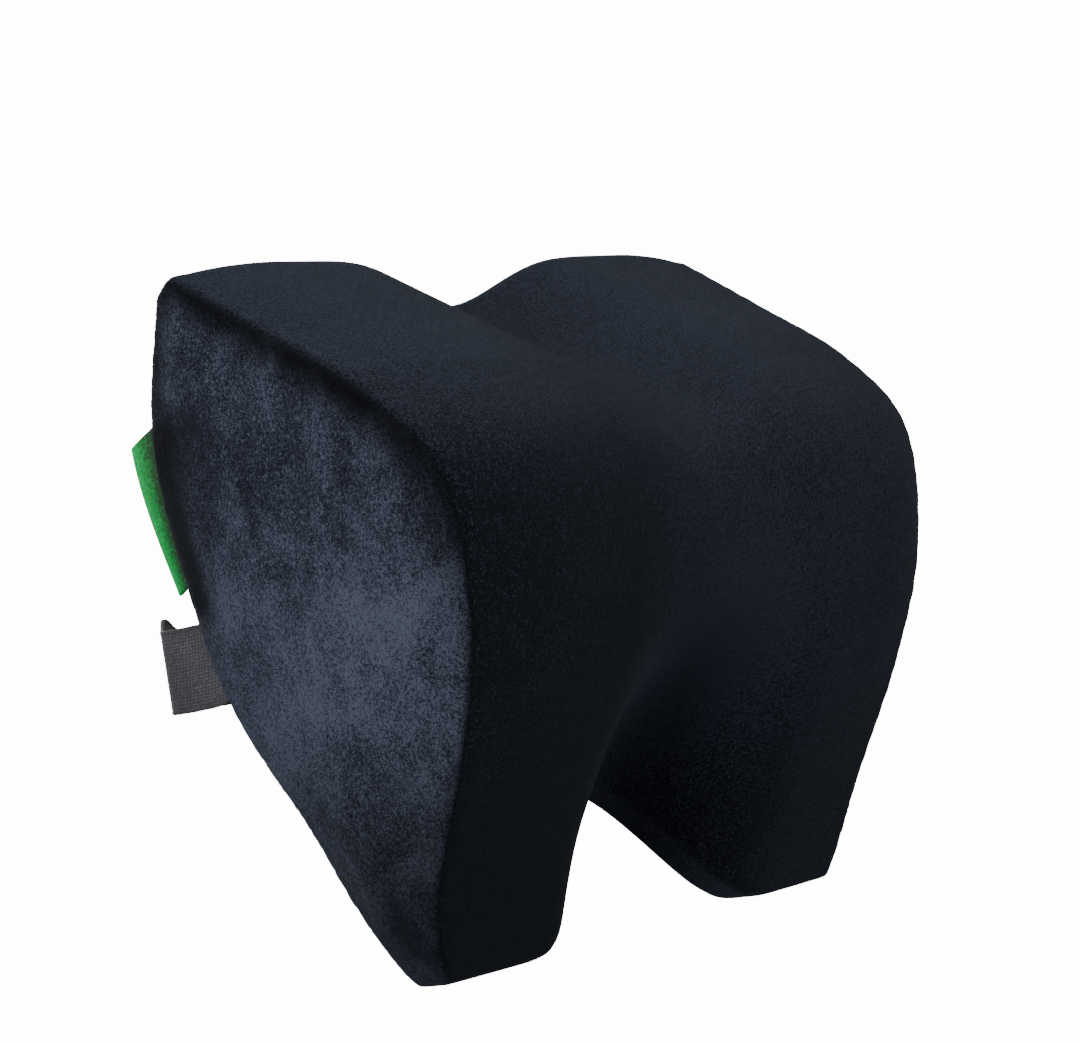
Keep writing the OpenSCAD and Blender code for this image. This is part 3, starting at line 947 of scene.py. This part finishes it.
for piece in (front_cover, back_upper, back_lower):
    # The wrap carries no painted shade bands
    set_attribute(piece, "shade", np.zeros(len(piece.data.vertices)))
    paint(piece, WRAP)
for piece in (side_left, side_right):
    # The side panels take their own painted light: paler in the middle, darker high at the front
    set_attribute(piece, "rim", get_attribute(piece, "side_painted_light"))
    paint(piece, SIDE)
paint(zip_tape, plain_weave("zipper_tape", (0.004, 0.005, 0.007), (0.016, 0.018, 0.022), 0.8))
paint(foam, foam_material())
paint(liner, plain_weave("knitted_liner", (0.45, 0.45, 0.43), (0.72, 0.72, 0.69), 1.2))

METAL = moulded("slider_lacquer", (0.10, 0.105, 0.11), 0.28, 0.6, metallic=0.8)
THREAD = plain_weave("stitch_thread", (0.004, 0.005, 0.008), (0.020, 0.023, 0.032), 0.3)
NYLON = moulded("nylon_coil", (0.010, 0.010, 0.012), 0.35, 0.4)
ACETAL = moulded("acetal", (0.010, 0.010, 0.011), 0.42, 0.5)


# ---- what rides on what -------------------------------------------------------

for name in ("zipper_stop_left", "zipper_stop_right"):
    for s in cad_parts[name].material_slots:
        s.material = METAL

for piece, node, body, slot, finish in (
        (coil_upper, "zipper_coil_upper", "cushion", "zip_coil", NYLON),
        (coil_lower, "zipper_coil_lower", "cushion", "zip_coil", NYLON),
        (zip_slider, "zipper_slider", "zip_slider", "zip_metal", METAL),
        (zip_pull, "zipper_pull", "zip_pull", "zip_metal", METAL),
        (adjuster, "strap_slider", "adjuster", "acetal", ACETAL)):
    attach(piece, body)
    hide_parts(node)
    paint(piece, finish)
for piece in stitches:
    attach(piece, "cushion")
    paint(piece, THREAD)

for piece, nodes, slot in (
        (front_cover, ["front_panel"], "velour_wrap"),
        (back_upper, ["back_panel_upper"], "velour_wrap"),
        (back_lower, ["back_panel_lower"], "velour_wrap"),
        (side_left, ["side_panel_left"], "velour_side"),
        (side_right, ["side_panel_right"], "velour_side"),
        (zip_tape, ["zipper_tape_upper", "zipper_tape_lower"], "zip_tape"),
        (foam, ["foam_core"], "foam"),
        (liner, ["inner_liner"], "liner"),
        (tag, ["side_tag"], "tag_ribbon")):
    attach(piece, "cushion")
    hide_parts(*nodes)

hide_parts("strap_webbing", "strap_end_left", "strap_end_right")
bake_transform(strap)


# ---- camera, floor and light --------------------------------------------------

AZIMUTH, ELEVATION, ROLL = -54.51, -1.48, -8.95  # degrees
DISTANCE = 1.3814                                # metres
FOCAL, SENSOR = 123.3, 36                        # millimetres
TARGET = Vector((0, SHIFT_Y * MM, 0.130))
SLIDE_LEFT, SLIDE_UP = 0.01648, 0.02326          # metres, so that the object sits as framed


def make_camera():
    data = bpy.data.cameras.new("camera")
    data.lens, data.sensor_width = FOCAL, SENSOR
    data.clip_start, data.clip_end = 0.05, 30
    cam = link(bpy.data.objects.new("camera", data))
    a, e = math.radians(AZIMUTH), math.radians(ELEVATION)
    back = Vector((math.sin(a) * math.cos(e), -math.cos(a) * math.cos(e), math.sin(e)))
    right = Vector((math.cos(a), math.sin(a), 0))
    up = back.cross(right)
    roll = math.radians(ROLL)
    right, up = (right * math.cos(roll) + up * math.sin(roll),
                 up * math.cos(roll) - right * math.sin(roll))
    spot = TARGET + back * DISTANCE - right * SLIDE_LEFT + up * SLIDE_UP
    cam.matrix_world = Matrix((
        (right.x, up.x, back.x, spot.x), (right.y, up.y, back.y, spot.y),
        (right.z, up.z, back.z, spot.z), (0, 0, 0, 1)))
    bpy.context.scene.camera = cam


make_camera()

WORLD_LIGHT = 0.3
STAGE_GLOW = 14.0


def white_surface(name, verts_m, faces):
    """A white part of the stage that the camera sees, and that lights nothing."""
    obj = make_mesh(name, np.asarray(verts_m) / MM, faces, smooth=False)
    m = Nodes(name)
    m.finish(Base_Color=(0.9, 0.9, 0.9), Roughness=0.9,
             Emission_Color=(1.0, 1.0, 1.0), Emission_Strength=STAGE_GLOW)
    paint(obj, m.material)
    obj.visible_diffuse = obj.visible_glossy = obj.visible_shadow = False


def make_stage():
    """A white floor and backdrop box, and an even white world that fills the shadows."""
    r, low, high = 9.0, -0.0005, 9.0
    corners = [(-r, -r), (r, -r), (r, r), (-r, r)]
    walls = [(x, y, z) for z in (low, high) for x, y in corners]
    white_surface("floor", walls[:4], [(0, 1, 2, 3)])
    white_surface("backdrop", walls, [(0, 1, 5, 4), (1, 2, 6, 5), (2, 3, 7, 6),
                                      (3, 0, 4, 7), (4, 5, 6, 7)])
    world = bpy.data.worlds.new("studio")
    world.use_nodes = True
    background = world.node_tree.nodes["Background"]
    background.inputs["Color"].default_value = (1, 1, 1, 1)
    background.inputs["Strength"].default_value = WORLD_LIGHT
    bpy.context.scene.world = world


make_stage()


def area_light(name, spot, size, power):
    """A round soft light, metres across and in watts, turned towards the cushion."""
    data = bpy.data.lights.new(name, "AREA")
    data.shape, data.size, data.energy = "DISK", size, power
    lamp = link(bpy.data.objects.new(name, data))
    lamp.location = spot
    lamp.rotation_mode = "QUATERNION"
    lamp.rotation_quaternion = (Vector(spot) - LIT_SPOT).to_track_quat("Z", "Y")


LIT_SPOT = Vector((0, 0, 0.13))
area_light("key", (-1.7, -0.35, 0.42), 0.8, 46)
area_light("top", (0.1, -0.3, 1.7), 1.0, 9)
area_light("right", (1.5, -1.0, 0.5), 0.9, 11)
area_light("back", (0.5, 1.7, 0.8), 1.2, 42)
